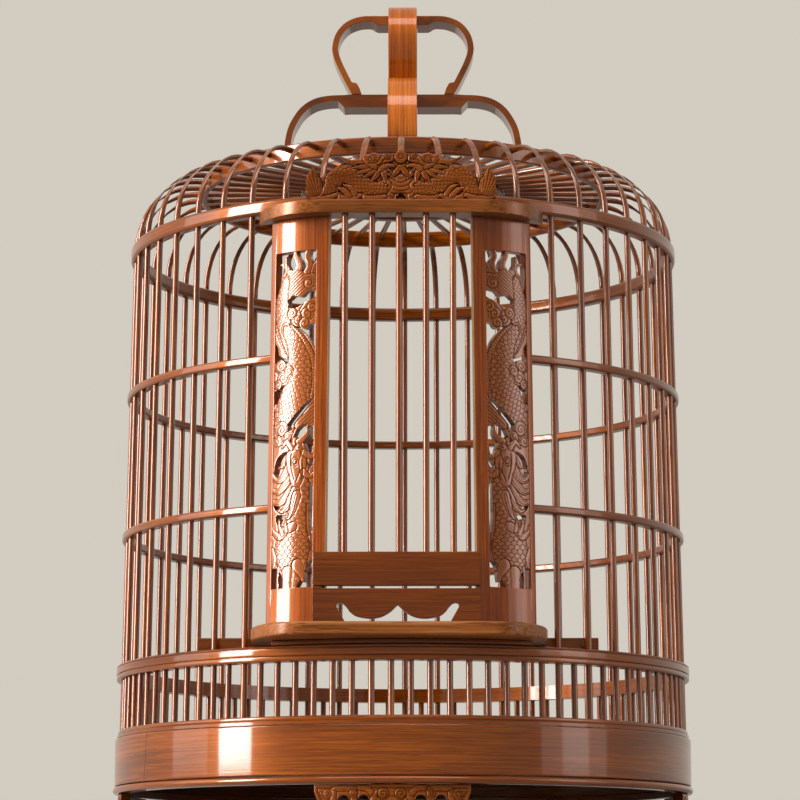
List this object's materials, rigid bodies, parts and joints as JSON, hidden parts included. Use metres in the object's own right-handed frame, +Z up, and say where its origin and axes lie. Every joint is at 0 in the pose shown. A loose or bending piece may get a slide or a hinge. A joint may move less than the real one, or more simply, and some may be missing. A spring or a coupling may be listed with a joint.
{
  "type": "bamboo bird cage",
  "caption": "Round lacquered bamboo bird cage with a domed top, a carved bay with a door that slides up, short feet and a carrying handle of crossed bent strips.",
  "frame": {"origin": "middle of the footprint on the ground; the axis of the round cage stands 7 mm behind it", "axes": "+Z up along the cage, the door faces -Y, +X to the right of someone who faces the door"},
  "size_m": [0.338, 0.352, 0.4906],
  "materials": {
    "lacquered_bamboo": "gloss lacquer",
    "dark_bamboo": "gloss lacquer",
    "carved_wood": "satin",
    "pale_bamboo": "satin",
    "tray_metal": "brushed"
  },
  "bodies": {
    "cage": {"base_band": "lacquered_bamboo", "base_rim": "lacquered_bamboo", "lower_ring": "lacquered_bamboo", "mid_hoop_lower": "lacquered_bamboo", "mid_hoop_upper": "lacquered_bamboo", "shoulder_ring": "lacquered_bamboo", "front_dome_bars": "lacquered_bamboo", "dome_hoop": "lacquered_bamboo", "lintel_board": "lacquered_bamboo", "door_post_left": "lacquered_bamboo", "door_post_right": "lacquered_bamboo", "sill_slat": "lacquered_bamboo", "handle_bow_x": "lacquered_bamboo", "handle_bow_y": "lacquered_bamboo", "handle_loop_x": "lacquered_bamboo", "handle_loop_y": "lacquered_bamboo", "wall_bars_1": "lacquered_bamboo", "wall_bars_2": "lacquered_bamboo", "wall_bars_3": "lacquered_bamboo", "wall_bars_4": "lacquered_bamboo", "wall_bars_5": "lacquered_bamboo", "wall_bars_6": "lacquered_bamboo", "wall_bars_7": "lacquered_bamboo", "wall_bars_8": "lacquered_bamboo", "base_bead": "dark_bamboo", "tray_ledge": "dark_bamboo", "front_lining": "dark_bamboo", "crown_ring": "dark_bamboo", "sill_bearer": "dark_bamboo", "beam_peg_left": "dark_bamboo", "beam_peg_right": "dark_bamboo", "foot_front": "dark_bamboo", "foot_right": "dark_bamboo", "foot_back": "dark_bamboo", "foot_left": "dark_bamboo", "crest_carving": "carved_wood", "sill_board": "pale_bamboo", "sill_beam": "pale_bamboo", "floor_grate": "pale_bamboo", "droppings_tray": "tray_metal"},
    "door": {"door_rail": "lacquered_bamboo", "door_bar_1": "lacquered_bamboo", "door_bar_2": "lacquered_bamboo", "door_bar_3": "lacquered_bamboo", "door_bar_4": "lacquered_bamboo", "door_bar_5": "lacquered_bamboo"}
  },
  "joints": [
    {"name": "door_slide", "type": "slide", "parent": "cage", "child": "door", "axis": [0, 0, 1], "range_m": [0, 0.184]}
  ]
}
